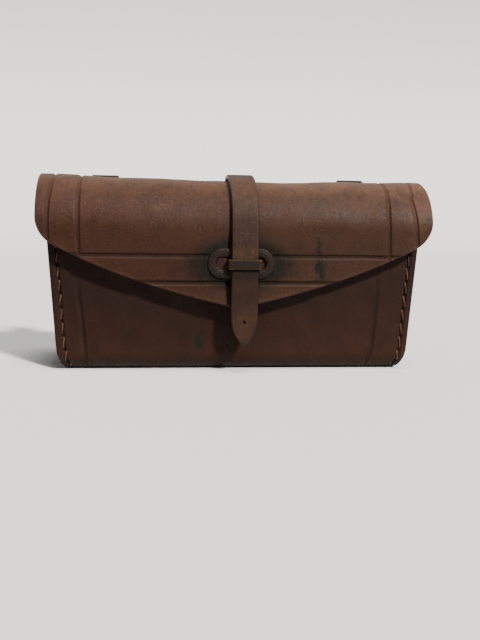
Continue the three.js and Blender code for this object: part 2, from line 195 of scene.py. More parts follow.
def shell(name, base, normal, lift, relief, materials, masks, thick=HIDE, flat=(), rings=6):
    rows, cols = base.shape[:2]
    base = base + normal * lift[..., None]
    outer = base + normal * relief[..., None]
    inner = base + normal * (0.3 * relief - thick)[..., None]
    i, j = np.arange(rows), np.arange(cols)
    loop = [(a, 0) for a in i[:-1]] + [(rows - 1, b) for b in j[:-1]]
    loop += [(a, cols - 1) for a in i[:0:-1]] + [(0, b) for b in j[:0:-1]]
    r, c = np.array(loop).T
    front, rear, out = outer[r, c], inner[r, c], normal[r, c]
    middle = (front + rear) / 2
    along = np.roll(middle, -1, 0) - np.roll(middle, 1, 0)
    away = np.cross(along, out)
    away /= np.linalg.norm(away, axis=1)[:, None]
    size = np.full(len(r), EDGE)
    if "start" in flat:
        size[r == 0] = 0
    if "end" in flat:
        size[r == rows - 1] = 0
    points = [outer.reshape(-1, 3), inner.reshape(-1, 3)]
    grid = rows * cols
    ring_start = [r * cols + c]
    for k in range(1, rings):
        turn = math.pi * k / rings
        ring = middle + (front - rear) / 2 * math.cos(turn)
        ring = ring + away * size[:, None] * math.sin(turn)
        ring_start.append(2 * grid + (k - 1) * len(r) + np.arange(len(r)))
        points.append(ring)
    ring_start.append(grid + r * cols + c)
    faces = [quads(rows, cols), quads(rows, cols, grid)[:, ::-1]]
    slots = [np.zeros(len(faces[0])), np.ones(len(faces[1]))]
    for a, b in zip(ring_start[:-1], ring_start[1:]):
        faces.append(np.column_stack([a, b, np.roll(b, -1), np.roll(a, -1)]))
        slots.append(np.zeros(len(a)))
    full = {}
    for key, values in masks.items():
        flatten = np.asarray(values, float).reshape(-1)
        border = np.tile(flatten[r * cols + c], rings - 1)
        full[key] = np.r_[flatten, flatten, border]
    full["rim"] = np.r_[np.zeros(2 * grid), np.ones((rings - 1) * len(r))]
    return build(name, np.vstack(points), np.vstack(faces), materials, full, np.concatenate(slots))


# ---- Leather --------------------------------------------------------------------------------------
# Old vegetable-tanned leather: red-brown to grey-brown and mottled, darkened by handling and oil and by
# painted shade, dark and burnished on its cut edges, lighter and greyer where it is rubbed and where a
# painted sheen is laid on.


def linear(r, g, b):
    def one(v):
        v /= 255
        return v / 12.92 if v <= 0.04045 else ((v + 0.055) / 1.055) ** 2.4

    return (one(r), one(g), one(b), 1.0)


class Nodes:
    """Short ways to add and join shader nodes."""

    def __init__(self, tree):
        self.tree = tree

    def add(self, kind, **settings):
        node = self.tree.nodes.new(kind)
        for key, value in settings.items():
            setattr(node, key, value)
        return node

    def feed(self, socket, value):
        if isinstance(value, bpy.types.NodeSocket):
            self.tree.links.new(value, socket)
        else:
            socket.default_value = value

    def math(self, operation, a, b=0.0, clamp=False):
        node = self.add("ShaderNodeMath", operation=operation, use_clamp=clamp)
        self.feed(node.inputs[0], a)
        self.feed(node.inputs[1], b)
        return node.outputs[0]

    def times(self, a, b, clamp=False):
        return self.math("MULTIPLY", a, b, clamp)

    def plus(self, a, b, clamp=False):
        return self.math("ADD", a, b, clamp)

    def mix(self, factor, a, b):
        node = self.add("ShaderNodeMix", data_type="RGBA", blend_type="MIX")
        self.feed(node.inputs["Factor"], factor)
        self.feed(node.inputs[6], a)
        self.feed(node.inputs[7], b)
        return node.outputs[2]

    def span(self, value, low, high, to_low=0.0, to_high=1.0):
        node = self.add("ShaderNodeMapRange", interpolation_type="SMOOTHSTEP")
        keys = ("Value", "From Min", "From Max", "To Min", "To Max")
        for key, v in zip(keys, (value, low, high, to_low, to_high)):
            self.feed(node.inputs[key], v)
        return node.outputs["Result"]

    def noise(self, vector, scale, detail=4.0, rough=0.55, twist=0.0):
        node = self.add("ShaderNodeTexNoise")
        self.feed(node.inputs["Vector"], vector)
        for key, v in (("Scale", scale), ("Detail", detail), ("Roughness", rough), ("Distortion", twist)):
            node.inputs[key].default_value = v
        return node.outputs["Fac"]

    def cells(self, vector, scale, feature="F1"):
        node = self.add("ShaderNodeTexVoronoi", feature=feature)
        self.feed(node.inputs["Vector"], vector)
        node.inputs["Scale"].default_value = scale
        return node.outputs["Distance"]

    def placed(self, vector, scale, turn=(0, 0, 0)):
        node = self.add("ShaderNodeMapping")
        self.feed(node.inputs["Vector"], vector)
        node.inputs["Scale"].default_value = scale
        node.inputs["Rotation"].default_value = turn
        return node.outputs["Vector"]

    def place(self):
        return self.add("ShaderNodeTexCoord").outputs["Object"]

    def relief(self, shader, height, depth):
        bump = self.add("ShaderNodeBump")
        bump.inputs["Distance"].default_value = depth * MM
        self.feed(bump.inputs["Height"], height)
        self.feed(shader.inputs["Normal"], bump.outputs["Normal"])

    def attribute(self, name):
        return self.add("ShaderNodeAttribute", attribute_name=name).outputs["Fac"]


def group(name, inputs, outputs):
    tree = bpy.data.node_groups.new(name, "ShaderNodeTree")
    for key, kind in inputs:
        tree.interface.new_socket(key, in_out="INPUT", socket_type=kind)
    for key, kind in outputs:
        tree.interface.new_socket(key, in_out="OUTPUT", socket_type=kind)
    n = Nodes(tree)
    return tree, n, n.add("NodeGroupInput").outputs, n.add("NodeGroupOutput").inputs


FLOAT, COLOUR = "NodeSocketFloat", "NodeSocketColor"


def old_leather_group():
    colours = [("Dark", COLOUR), ("Red", COLOUR), ("Grey", COLOUR), ("Rubbed", COLOUR)]
    amounts = [("Hue", FLOAT), ("Wear_and_sheen", FLOAT), ("Dirt_and_shade", FLOAT), ("Green", FLOAT), ("Rim", FLOAT)]
    outs = [("Color", COLOUR), ("Roughness", FLOAT), ("Height", FLOAT)]
    tree, n, i, o = group("old_leather", colours + amounts, outs)
    place = n.place()
    cloud = n.noise(place, 26, 5, 0.6, 0.8)
    patch = n.noise(place, 95, 5, 0.62, 0.4)
    speck = n.noise(place, 520, 3, 0.6)
    streak = n.noise(n.placed(place, (420, 160, 60), (0, 0.06, 0)), 1.0, 5, 0.65, 0.4)
    pores = n.cells(place, 1500)
    grain = n.cells(place, 640, "DISTANCE_TO_EDGE")
    # slow change of hue from side to side, broken up by clouds
    side = n.plus(i["Hue"], n.times(n.math("SUBTRACT", cloud, 0.5), 0.9), True)
    tone = n.mix(side, i["Red"], i["Grey"])
    depth = n.span(n.plus(n.times(patch, 0.6), n.times(cloud, 0.4)), 0.36, 0.62)
    tone = n.mix(n.times(n.math("SUBTRACT", 1.0, depth), 0.22), tone, i["Dark"])
    tone = n.mix(n.times(n.span(streak, 0.5, 0.72), 0.22), tone, i["Dark"])
    # the wear mask lightens towards the rubbed colour: real rubbing, and painted sheen where the masks put it
    rub_and_sheen = n.times(i["Wear_and_sheen"], n.span(n.plus(patch, n.times(streak, 0.5)), 0.3, 1.05), True)
    tone = n.mix(rub_and_sheen, tone, i["Rubbed"])
    # thin scratches in two directions
    for turn, scale in (((0, 0.9, 0.1), (60, 300, 1500)), ((0, -0.7, 0.2), (50, 300, 1400))):
        lines = n.span(n.noise(n.placed(place, scale, turn), 1.0, 2, 0.5, 0.3), 0.68, 0.74)
        lines = n.times(lines, n.span(cloud, 0.48, 0.6))
        tone = n.mix(n.times(lines, 0.35), tone, i["Rubbed"])
    light_specks = n.span(n.noise(place, 1250, 3, 0.6), 0.55, 0.7)
    tone = n.mix(n.times(light_specks, 0.3), tone, i["Rubbed"])
    dark_specks = n.span(speck, 0.62, 0.74)
    tone = n.mix(n.times(dark_specks, 0.6), tone, i["Dark"])
    pits = n.span(pores, 0.34, 0.08)
    tone = n.mix(n.times(pits, 0.28), tone, i["Dark"])
    # the dirt mask darkens: real grime, and painted shade where the masks put it
    soil_and_shade = n.times(i["Dirt_and_shade"], n.span(patch, 0.25, 0.62, 0.72, 1.25), True)
    tone = n.mix(soil_and_shade, tone, n.mix(0.7, tone, linear(14, 9, 7)))
    mould = n.times(i["Green"], n.span(n.noise(place, 300, 5, 0.7, 1.2), 0.34, 0.56), True)
    tone = n.mix(mould, tone, linear(26, 27, 20))
    tone = n.mix(n.times(i["Rim"], 0.75), tone, linear(24, 14, 10))
    n.feed(o["Color"], tone)
    rough = n.span(n.plus(n.times(patch, 0.5), n.times(speck, 0.5)), 0.3, 0.7, 0.42, 0.62)
    rough = n.plus(rough, n.times(soil_and_shade, 0.16))
    rough = n.plus(rough, n.times(mould, 0.3))
    n.feed(o["Roughness"], n.math("SUBTRACT", rough, n.times(i["Rim"], 0.12), True))
    # fine grain, pores, creases and dents
    ridge = n.times(n.span(grain, 0.0, 0.12), 0.22)
    high = n.plus(ridge, n.times(n.span(pores, 0.0, 0.4), 0.3))
    high = n.plus(high, n.times(patch, 1.1))
    high = n.plus(high, n.times(streak, 0.7))
    n.feed(o["Height"], n.plus(high, n.times(speck, 0.5)))
    return tree


OLD_LEATHER = old_leather_group()


def material(name):
    made = bpy.data.materials.new(name)
    made.use_nodes = True
    made.node_tree.nodes.clear()
    n = Nodes(made.node_tree)
    shader = n.add("ShaderNodeBsdfPrincipled")
    n.feed(n.add("ShaderNodeOutputMaterial").inputs["Surface"], shader.outputs[0])
    return made, n, shader


def leather(name, dark, red, grey, rubbed_and_sheen):
    made, n, shader = material(name)
    use = n.add("ShaderNodeGroup", node_tree=OLD_LEATHER)
    for key, colour in (("Dark", dark), ("Red", red), ("Grey", grey), ("Rubbed", rubbed_and_sheen)):
        use.inputs[key].default_value = linear(*colour)
    for key in ("Hue", "Wear_and_sheen", "Dirt_and_shade", "Green", "Rim"):
        n.feed(use.inputs[key], n.attribute(key.lower()))
    n.feed(shader.inputs["Base Color"], use.outputs["Color"])
    n.feed(shader.inputs["Roughness"], use.outputs["Roughness"])
    shader.inputs["Specular IOR Level"].default_value = 0.16
    n.relief(shader, use.outputs["Height"], 0.16)
    return made


BODY_LEATHER = leather("body_leather", (8, 4, 2), (36, 14, 6), (40, 17, 8), (58, 33, 19))
FLAP_LEATHER = leather("flap_leather", (13, 6, 3), (52, 22, 10), (54, 30, 18), (108, 74, 54))
END_LEATHER = leather("end_leather", (8, 4, 2), (33, 13, 6), (36, 17, 9), (56, 32, 19))
STRAP_LEATHER = leather("strap_leather", (10, 5, 3), (36, 14, 6), (38, 18, 9), (94, 66, 48))
LOOP_LEATHER = leather("loop_leather", (9, 5, 4), (30, 15, 10), (36, 20, 13), (58, 37, 25))


def flesh_side():
    """The rough inside of the leather, lighter and matt, with short fibres."""
    made, n, shader = material("flesh_side")
    place = n.place()
    cloud, fuzz = n.noise(place, 40, 5, 0.6, 0.5), n.noise(n.placed(place, (500, 900, 900)), 1.0, 4, 0.7, 1.0)
    tone = n.mix(n.span(cloud, 0.35, 0.65), linear(52, 32, 20), linear(76, 50, 34))
    tone = n.mix(n.times(n.span(fuzz, 0.45, 0.65), 0.4), tone, linear(44, 28, 20))
    n.feed(shader.inputs["Base Color"], tone)
    shader.inputs["Roughness"].default_value = 0.88
    n.relief(shader, fuzz, 0.3)
    return made


FLESH = flesh_side()

# ---- Front and bottom -----------------------------------------------------------------------------
# The front and bottom of the hide, with a pressed line down each side, the sunk seam line near both
# ends, painted shade (partly grime) in the seam line, creases and awl holes, painted shadow below the
# flap and the strap, a darker foot, and a painted reflection of the floor on the bottom curve.

SEAM_INSET = 4.8
STITCH_PITCH = 7.95
SEAM_START = 4.0  # from the cut edge of the mouth to the first stitch hole
LEFT_CREASE = np.array([[3.8, -83.8], [18.5, -85.2], [28.6, -86.0], [42.6, -87.6], [88, -88.2]])
RIGHT_CREASE = np.array([[3.1, 76.6], [13.2, 79.3], [23.8, 79.8], [34.6, 80.6], [88, 82.0]])


def seam_relief(x, half, s):
    """The sunk seam line and the awl holes along it."""
    off = np.abs(np.abs(x) * HALF_BODY / half - (HALF_BODY - SEAM_INSET))
    line = -0.5 * np.exp(-((off / 0.9) ** 4)) + 0.08 * near(off, 1.9, 0.5)
    hole = np.abs((s - SEAM_START + STITCH_PITCH / 2) % STITCH_PITCH - STITCH_PITCH / 2)
    holes = np.exp(-((hole / 0.85) ** 2) - (off / 0.75) ** 2)
    pull = np.exp(-((hole / 1.7) ** 2) - (off / 3.2) ** 2)
    return line - 0.9 * holes - 0.16 * pull, np.exp(-((off / 1.2) ** 4)), holes


xs = spaced(-1, 1, 250, lambda u: 1 + 2.2 * sum(near(u, c, 0.02) for c in (-0.954, 0.954, -0.82, 0.77)))
rows = spaced(0, front_line.length, 132, lambda s: 1 - 0.65 * ease(100, 106, s))
y, z, ny, nz = front_line.at(rows)
half = half_width(y, z)
x = xs[None, :] * (half - EDGE)[:, None]
Y, Z, S = y[:, None] + 0 * x, z[:, None] + 0 * x, rows[:, None] + 0 * x
seam, sunk, holes = seam_relief(x, half[:, None], S)
crease = np.zeros_like(x)
for path in (LEFT_CREASE, RIGHT_CREASE):
    off = x - np.interp(Z, path[:, 0], path[:, 1])
    crease += pressed(off, 1.1, 0.7) * ease(2, 6, Z + 0.2 * (Y + DEPTH)) * (1 - 0.75 * ease(30, 58, Z))
slack = 0.55 * ripple(x, S, 90, 3) + 0.16 * ripple(x, S, 26, 4)
slack *= ease(0, 10, HALF_BODY - np.abs(x)) * ease(0, 12, Z)
relief = seam + crease
masks = {
    "hue": ease(-70, 90, x) * 0.6 + 0.1,
    # wear mask: the bottom curve is lighter as a painted reflection of the pale floor; the side edges are
    # lighter from real rubbing; the front is also lighter towards the right
    "wear_and_sheen": 0.16 + 0.35 * near(Z, 9, 8) + 0.2 * near(np.abs(x), 100, 5) + 0.2 * ease(0, 60, x),
    # dirt mask: painted shade, partly grime, in the seam line, creases and awl holes; a painted shadow of the
    # flap on the upper front; darker along the foot; a painted shadow of the strap tail in the middle
    "dirt_and_shade": np.clip(0.2 * sunk + 0.35 * np.clip(-crease / 0.7, 0, 1) + 1.2 * holes, 0, 1)
    + 0.35 * ease(24, 44, Z) + 0.3 * (1 - ease(0, 9, Z)) + 0.35 * near(x, 3, 15) * near(Z, 40, 26),
    "green": 1.8 * near(x, -20.8, 2.6) * near(Z, 17, 4.5) + 0.4 * near(x, -88.5, 3) * near(Z, 13, 3)
    + 0.35 * near(x, -8, 6) * near(Z, 42, 8),
}
base = np.stack([x, Y, Z], -1)
normal = np.stack([0 * x, ny[:, None] + 0 * x, nz[:, None] + 0 * x], -1)
front = shell("hide_front", base, normal, slack, relief, [BODY_LEATHER, FLESH], masks, flat=("end",))
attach(front, "root")
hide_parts("body_panel")

# ---- Back and flap --------------------------------------------------------------------------------
# The hide goes on up the back, over the crest and down as the flap: two ears with round lower
# corners, a blunt V edge that flares out a little, and pressed lines along and across it.

TIP, TIP_SLOPE, EAR_SLOPE = 36.5, 0.21, 0.55
EAR_R, EAR_Z = 17.5, 86.0
LEFT_OUTER = np.array([[60, -101.8], [74, -103.2], [83.6, -103.6], [94, -103.3], [106, -101.8], [108, -101.6]])
LEFT_INNER = np.array([[61, -86.8], [68, -87.0], [89, -87.4], [108, -87.2]])
RIGHT_INNER = np.array([[61, 85.4], [70, 84.9], [89, 84.2], [108, 86.2]])
RIGHT_OUTER = np.array([[60, 102.0], [71, 101.3], [90, 99.4], [98, 98.6], [106, 101.0], [108, 102.4]])
LINES_ACROSS = ((65.4, 0.002), (50.6, 0.002))  # height in the middle, rise to the right


def flap_edge():
    """The cut outline as X, Z points from the left ear round the V to the right ear."""
    turn = math.pi / 2 - math.atan(EAR_SLOPE)
    corner_x = HALF_FLAP - EAR_R * (1 - math.cos(turn))
    corner_z = EAR_Z - EAR_R * math.sin(turn)
    bend_x = (TIP + EAR_SLOPE * corner_x - corner_z) / (EAR_SLOPE - TIP_SLOPE)
    bend_z = TIP + TIP_SLOPE * bend_x
    t = np.linspace(0, 1, 300)
    curve_x = 2 * t * (1 - t) * bend_x + t * t * corner_x
    curve_z = (1 - t) ** 2 * TIP + 2 * t * (1 - t) * bend_z + t * t * corner_z
    angle = np.linspace(-turn, 0, 160)[1:]
    arc = [HALF_FLAP - EAR_R + EAR_R * np.cos(angle), EAR_Z + EAR_R * np.sin(angle)]
    right = np.array([np.r_[curve_x, arc[0]], np.r_[curve_z, arc[1]]]).T
    inward = np.gradient(right, axis=0)
    inward = np.column_stack([-inward[:, 1], inward[:, 0]])
    right = right + EDGE * inward / np.linalg.norm(inward, axis=1)[:, None]
    right[0, 0] = 0
    return np.vstack([right[::-1] * [-1, 1], right[1:]])


edge = flap_edge()
along = np.r_[0, np.cumsum(np.linalg.norm(np.diff(edge, axis=0), axis=1))]
fine = lambda s: 1 + 2.4 * sum(near(np.interp(s, along, edge[:, 0]), c, 2.6) for c in (-103, -86, 85, 100))
picked = spaced(0, along[-1], 228, fine)
edge_x, edge_z = np.interp(picked, along, edge[:, 0]), np.interp(picked, along, edge[:, 1])
half_flap = HALF_FLAP - EDGE

back_rows = spaced(0, back_line.length, 62, lambda s: 1 + 0.6 * ease(88, 100, s))
y, z, ny, nz = back_line.at(back_rows)
half = half_width(y, z)
back_x = (edge_x / half_flap)[None, :] * (half - EDGE)[:, None]
back_part = np.stack([back_x, y[:, None] + 0 * back_x, z[:, None] + 0 * back_x], -1)
back_norm = np.stack([0 * back_x, ny[:, None] + 0 * back_x, nz[:, None] + 0 * back_x], -1)

FLAP_ROWS = 122
columns, column_norms, column_s = [], [], []
z_order = np.argsort(flap_line.points[:, 1])
for cx, cz in zip(edge_x, edge_z):
    stop = np.interp(cz, flap_line.points[z_order, 1], flap_line.s[z_order])
    lines_at = [height + slope * cx for height, slope in LINES_ACROSS]
    close = lambda s: 1 + 2.0 * sum(near(flap_line.at(s)[1], c, 2.2) for c in lines_at)
    s = spaced(0, stop, FLAP_ROWS, close)
    cy, czz, cny, cnz = flap_line.at(s)
    columns.append(np.column_stack([np.full_like(s, cx), cy, czz]))
    column_norms.append(np.column_stack([0 * s, cny, cnz]))
    column_s.append(s)
flap_part = np.stack(columns, 1)[1:]
flap_norm = np.stack(column_norms, 1)[1:]
flap_s = np.stack(column_s, 1)[1:]
base = np.concatenate([back_part, flap_part])
normal = np.concatenate([back_norm, flap_norm])
S = np.concatenate([back_rows[:, None] - back_line.length + 0 * back_x, flap_s])
x, Y, Z = base[..., 0], base[..., 1], base[..., 2]
on_flap = S > 0

lines = np.zeros_like(x)
for path in (LEFT_OUTER, LEFT_INNER, RIGHT_INNER, RIGHT_OUTER):
    off = x - np.interp(Z, path[:, 0], path[:, 1])
    groove = pressed(off, 1.1, 0.75)
    lines = np.minimum(lines, groove * ease(94, 101, Z + 40 * on_flap)) + np.maximum(0, groove) * on_flap
for height, slope in LINES_ACROSS:
    off = Z - height - slope * x
    groove = pressed(off, 1.1, 0.75) * on_flap
    lines = np.minimum(lines, groove) + np.maximum(0, groove)
seam, sunk, holes = seam_relief(x, half_width(Y, Z), np.where(on_flap, 1e3, S + back_line.length + 2.0))
seam_on = (~on_flap) * (1 - ease(88.5, 90.5, Z))
slack = 0.5 * ripple(x, S, 80, 11) + 0.15 * ripple(x, S, 24, 12)
slack *= ease(0, 12, HALF_FLAP - np.abs(x))
rest_on_contents = 0.9 * near(x, -45, 45) * near(S, 62, 18) - 0.5 * near(x, 70, 22) * near(S, 60, 14)
crest = near(S, 4, 30)
sag = -1.3 * near(x, 5, 50) + 1.2 * (1 - ease(-108, -60, x)) + 0.4 * ease(80, 108, x)
lift = slack + rest_on_contents * on_flap + sag * crest
relief = lines + seam * seam_on
below = np.interp(x, edge_x, edge_z)
ring_off = np.hypot((x - 1.4) / 22.5, (Z - 61.5) / 11.5)
masks = {
    "hue": ease(-20, 40, x) * 0.85 + 0.05,
    # wear mask: the crest band, stronger to the right, and the right ear are partly rubbed and partly a painted
    # sheen where the light falls; the band along the cut edge is rubbing; a pale fleck on the left
    "wear_and_sheen": np.where(on_flap, 0.18, 0.15)
    + (0.42 + 0.3 * ease(-60, 80, x)) * near(S, 12, 17) + 0.45 * ease(86, 108, x) * near(Z, 92, 20)
    + 0.3 * np.clip(1 - np.abs(Z - below) / 2.2, 0, 1) * on_flap
    + 1.0 * near(x, -43.2, 3.4) * near(Z, 91.5, 1.4) * on_flap,
    # dirt mask: painted shade, partly grime, in the pressed lines, seam line and awl holes; the lower flap
    # darker than the crest as painted shade; a stain round the eyelet; a painted shadow of the strap down the
    # middle; darker along the lower edge and in a patch left of the middle
    "dirt_and_shade": np.clip(0.3 * np.clip(-lines / 0.75, 0, 1) + 0.2 * sunk * seam_on + 1.2 * holes * seam_on, 0, 1)
    + 0.3 * (1 - ease(58, 96, Z)) * ease(3, 14, Z - below) * on_flap
    + 0.65 * near(ring_off, 1.0, 0.32) * on_flap + 0.45 * near(x, 3.2, 9.5) * on_flap
    + 0.25 * (1 - ease(0, 12, Z - below)) * on_flap + 0.2 * near(x, -20, 16) * near(Z, 55, 10) * on_flap,
    "green": (0.9 * near(ring_off, 0.95, 0.2) + 1.7 * near(x, 45.0, 1.3) * near(Z, 71, 4.0)
    + 2.0 * near(x, 45.5, 2.6) * near(Z, 60, 3.0) + 1.2 * near(x, 46.2, 2.6) * near(Z, 54, 3.2)
    + 0.55 * near(x, -43.2, 3.4) * near(Z, 91.5, 1.8)) * on_flap + 0.12,
}
flap = shell("hide_back_and_flap", base, normal, lift, relief, [FLAP_LEATHER, FLESH], masks, flat=("start",))
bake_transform(flap)
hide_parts("flap")

# ---- Moulded ends ---------------------------------------------------------------------------------
# Each end is one piece of leather wetted and pressed into a shallow tray. Its flat face is set back
# and its rim turns outward, where it is sewn to the hide.

GAP = 0.3
END_THICK = 2.5
RIM_WIDE = 9.0
ARCH = 9.0


def end_outline(inset, count=150):
    """The end's outline at an inset from the hide's outside, and its inward directions."""
    wall = [straight(inset - DEPTH, MOUTH, inset - DEPTH, 11), bend(-33, 11, 11 - inset, 11 - inset, 180, 270)]
    wall += [straight(-33, inset, -8, inset), bend(-8, 8, 8 - inset, 8 - inset, 270, 360)]
    wall += [straight(-inset, 8, -inset, BACK_TOP)]
    wall += [bend(CREST_Y, BACK_TOP, -CREST_Y - inset, ARCH, 0, 90)]
    wall += [bend(CREST_Y, MOUTH, DEPTH + CREST_Y - inset, BACK_TOP + ARCH - MOUTH, 90, 179.9)]
    shape = Line(*wall)
    s = np.linspace(0, shape.length, count, endpoint=False)
    y, z, ny, nz = shape.at(s)
    return np.column_stack([y, z]), -np.column_stack([ny, nz])


def band(a, b):
    """Faces between two closed rings of points."""
    return np.column_stack([a, np.roll(a, -1), np.roll(b, -1), b]).tolist()


def moulded_end(side):
    edge_line, inward = end_outline(HIDE + GAP)
    floor, rim = HALF_BODY - RIM_WIDE, HALF_BODY - 0.3
    t = END_THICK
    bow = 2.4
    inner_turn, cut_turn, outer_turn = (
        [(math.sin(a), math.cos(a)) for a in np.radians(steps)]
        for steps in ([22, 45, 68, 90], [20, 50, 90, 130, 160], [20, 45, 70, 90])
    )
    profile = [(t + bow, floor)]
    profile += [(t + bow - bow * sa, floor + bow - bow * ca) for sa, ca in inner_turn]
    profile += [(t, rim - 5), (t, rim - 3), (t, rim - 1.4)]
    profile += [(t / 2 + t / 2 * ca, rim - 1.2 + 1.2 * sa) for sa, ca in cut_turn]
    profile += [(0, rim - 1.4), (0, rim - 4), (0, floor + 2.6)]
    big = bow + t
    profile += [(big - big * ca, floor + bow - big * sa) for sa, ca in outer_turn]
    middle = edge_line.mean(0)
    rings, dirt_and_shade = [], []
    shrink = [0.12, 0.3, 0.48, 0.64, 0.78, 0.9]
    first = edge_line + inward * profile[0][0]
    last = edge_line + inward * profile[-1][0]
    stations = [(middle + (first - middle) * k, floor, k) for k in shrink]
    stations += [(edge_line + inward * d, x, 1) for d, x in profile]
    stations += [(middle + (last - middle) * k, floor - t, k) for k in shrink[::-1]]
    for n, (ring, x, share) in enumerate(stations):
        y, z = ring.T
        wide = half_width(y, np.minimum(z, BACK_TOP)) / HALF_BODY
        sag = 0.55 * ripple(y, z, 38, 7 + side) * (1 - share**3) if share < 1 else 0
        rings.append(np.column_stack([side * (x * wide + sag), y, z]))
        # the rings of the tray's inner corner are darker
        dirt_and_shade.append(np.full(len(y), 0.9 if n in range(6, 10) else 0.15))
    count = len(edge_line)
    points = np.vstack([[[side * floor * 0.965, *middle]], *rings, [[side * (floor - t) * 0.965, *middle]]])
    faces = []
    for k in range(len(rings) - 1):
        a = 1 + k * count + np.arange(count)
        b = a + count
        faces += band(a, b)
    ends = [(0, 1), (len(points) - 1, 1 + (len(rings) - 1) * count)]
    for tip, start in ends:
        a = start + np.arange(count)
        faces += np.column_stack([np.full(count, tip), a, np.roll(a, -1)]).tolist()
    # dirt mask: darker in the tray's inner corner and towards the foot
    corner_darkening = np.r_[0.1, np.concatenate(dirt_and_shade), 0.1]
    z = points[:, 2]
    masks = {
        "hue": np.full(len(points), 0.3),
        "wear_and_sheen": 0.2 + 0.35 * near(z, 50, 30),
        "dirt_and_shade": corner_darkening + 0.4 * (1 - ease(4, 16, z)),
        "green": 0 * z + 0.1,
        "rim": 0 * z,
    }
    name = "left_end_moulded" if side < 0 else "right_end_moulded"
    piece = build(name, points, faces, [END_LEATHER], masks)
    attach(piece, "root")
    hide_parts("left_end" if side < 0 else "right_end")


for side in (-1, 1):
    moulded_end(side)

# ---- Seams ----------------------------------------------------------------------------------------
# Waxed linen saddle stitches in the sunk line near each end: one stitch is laid once, from awl hole
# to awl hole, and repeated along front, bottom and back.


def waxed_thread():
    made, n, shader = material("waxed_thread")
    place = n.place()
    soil_and_shade = n.span(n.noise(place, 160, 4, 0.6), 0.35, 0.65)
    tone = n.mix(soil_and_shade, linear(44, 27, 14), linear(98, 64, 33))
    tone = n.mix(n.times(n.span(n.noise(place, 900, 3), 0.5, 0.7), 0.6), tone, linear(24, 14, 8))
    n.feed(shader.inputs["Base Color"], tone)
    shader.inputs["Roughness"].default_value = 0.6
    n.relief(shader, n.noise(n.placed(place, (1500, 1500, 1500)), 1.0, 3), 0.12)
    return made


THREAD = waxed_thread()


def one_stitch():
    """A short length of two-ply twisted thread that dives into the leather at both ends."""
    around, lengthways = 14, 26
    points, faces = [], []
    for k in range(lengthways):
        t = k / (lengthways - 1)
        x = (t - 0.5) * 6.4
        dive = -0.9 * (abs(2 * t - 1) ** 4)
        for m in range(around):
            a = 2 * math.pi * m / around
            ply = 0.29 + 0.09 * abs(math.cos(a + 2.2 * math.pi * t))
            points.append((x, math.cos(a) * ply * 1.12, dive + math.sin(a) * ply * 0.95))
    for k in range(lengthways - 1):
        for m in range(around):
            a, b = k * around + m, k * around + (m + 1) % around
            faces.append((a, a + around, b + around, b))
    faces += [tuple(range(around))[::-1], tuple((lengthways - 1) * around + m for m in range(around))]
    mesh = bpy.data.meshes.new("stitch")
    mesh.from_pydata([tuple(c * MM for c in p) for p in points], [], faces)
    mesh.polygons.foreach_set("use_smooth", [True] * len(faces))
    return bpy.data.objects.new("stitch", mesh)


def stitch_row_group():
    tree = bpy.data.node_groups.new("stitch_row", "GeometryNodeTree")
    ids = {}
    inputs = [("Geometry", "NodeSocketGeometry"), ("Stitch", "NodeSocketObject")]
    inputs += [("Thread", "NodeSocketMaterial"), ("Tightness", FLOAT)]
    for key, kind in inputs:
        ids[key] = tree.interface.new_socket(key, in_out="INPUT", socket_type=kind).identifier
    tree.interface.new_socket("Geometry", in_out="OUTPUT", socket_type="NodeSocketGeometry")
    n = Nodes(tree)
    given, result = n.add("NodeGroupInput"), n.add("NodeGroupOutput")
    turn = n.add("GeometryNodeInputNamedAttribute", data_type="FLOAT_VECTOR")
    turn.inputs["Name"].default_value = "turn"
    shape = n.add("GeometryNodeObjectInfo")
    n.feed(shape.inputs["Object"], given.outputs["Stitch"])
    pull = n.add("FunctionNodeRandomValue", data_type="FLOAT")
    pull.inputs[2].default_value, pull.inputs[3].default_value = 0.88, 1.06
    pull.inputs["Seed"].default_value = 5
    laid = n.add("GeometryNodeInstanceOnPoints")
    n.feed(laid.inputs["Points"], given.outputs["Geometry"])
    n.feed(laid.inputs["Instance"], shape.outputs["Geometry"])
    n.feed(laid.inputs["Rotation"], turn.outputs["Attribute"])
    n.feed(laid.inputs["Scale"], n.times(pull.outputs[1], given.outputs["Tightness"]))
    real = n.add("GeometryNodeRealizeInstances")
    n.feed(real.inputs["Geometry"], laid.outputs["Instances"])
    paint = n.add("GeometryNodeSetMaterial")
    n.feed(paint.inputs["Geometry"], real.outputs["Geometry"])
    n.feed(paint.inputs["Material"], given.outputs["Thread"])
    n.feed(result.inputs["Geometry"], paint.outputs["Geometry"])
    return tree, ids


STITCH = one_stitch()
STITCH_ROW, STITCH_IDS = stitch_row_group()


def seam_places(line, offset, top, side):
    """Middles and turns of the stitches along one section line, in the frame."""
    s = np.arange(SEAM_START + STITCH_PITCH / 2 - offset, line.length, STITCH_PITCH)
    y, z, ny, nz = line.at(s)
    keep = (z < top) & (s > 0)
    y, z, ny, nz = y[keep], z[keep], ny[keep], nz[keep]
    x = side * (HALF_BODY - SEAM_INSET) * half_width(y, z) / HALF_BODY
    ahead = [v[keep] for v in line.at(s + 0.5)[:2]]
    rng = np.random.default_rng(21 + side)
    spots, turns = [], []
    for k in range(len(y)):
        out = Vector((0, ny[k], nz[k]))
        run = Vector((0, ahead[0][k] - y[k], ahead[1][k] - z[k])).normalized()
        across = out.cross(run)
        slant = math.radians(side * 8 + rng.uniform(-4, 4))
        run = run * math.cos(slant) + across * math.sin(slant)
        frame_of = Matrix((run, out.cross(run), out)).transposed()
        turns.append(list(frame_of.to_euler()))
        spots.append([x[k], y[k] + 0.25 * -ny[k], z[k] + 0.25 * -nz[k]])
    return spots, turns


